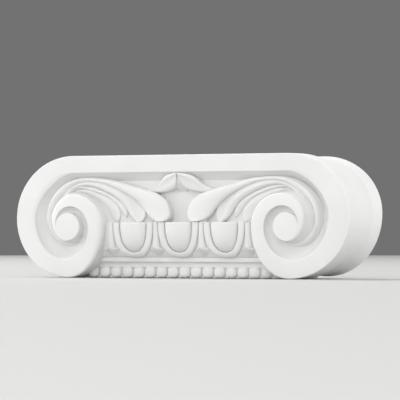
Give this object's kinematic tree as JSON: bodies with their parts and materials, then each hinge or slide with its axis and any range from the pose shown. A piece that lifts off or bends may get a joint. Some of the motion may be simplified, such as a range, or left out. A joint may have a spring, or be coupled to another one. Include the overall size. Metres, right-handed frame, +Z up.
{
  "type": "ionic pilaster capital",
  "caption": "Moulded Ionic pilaster capital with paired volutes, acanthus half-leaves, egg-and-dart and bead moulding, flat back for a wall.",
  "frame": {"origin": "middle of the bounding box in plan, at the underside that stands on the pilaster's shaft", "axes": "+X along the capital's length, +Y into the wall (the carved face looks along -Y), +Z up"},
  "size_m": [0.29, 0.0634, 0.093],
  "materials": {
    "white_primer": "matt white factory primer on rigid polyurethane foam with a smooth moulded skin"
  },
  "bodies": {
    "root": {"capital": "white_primer"}
  },
  "joints": []
}
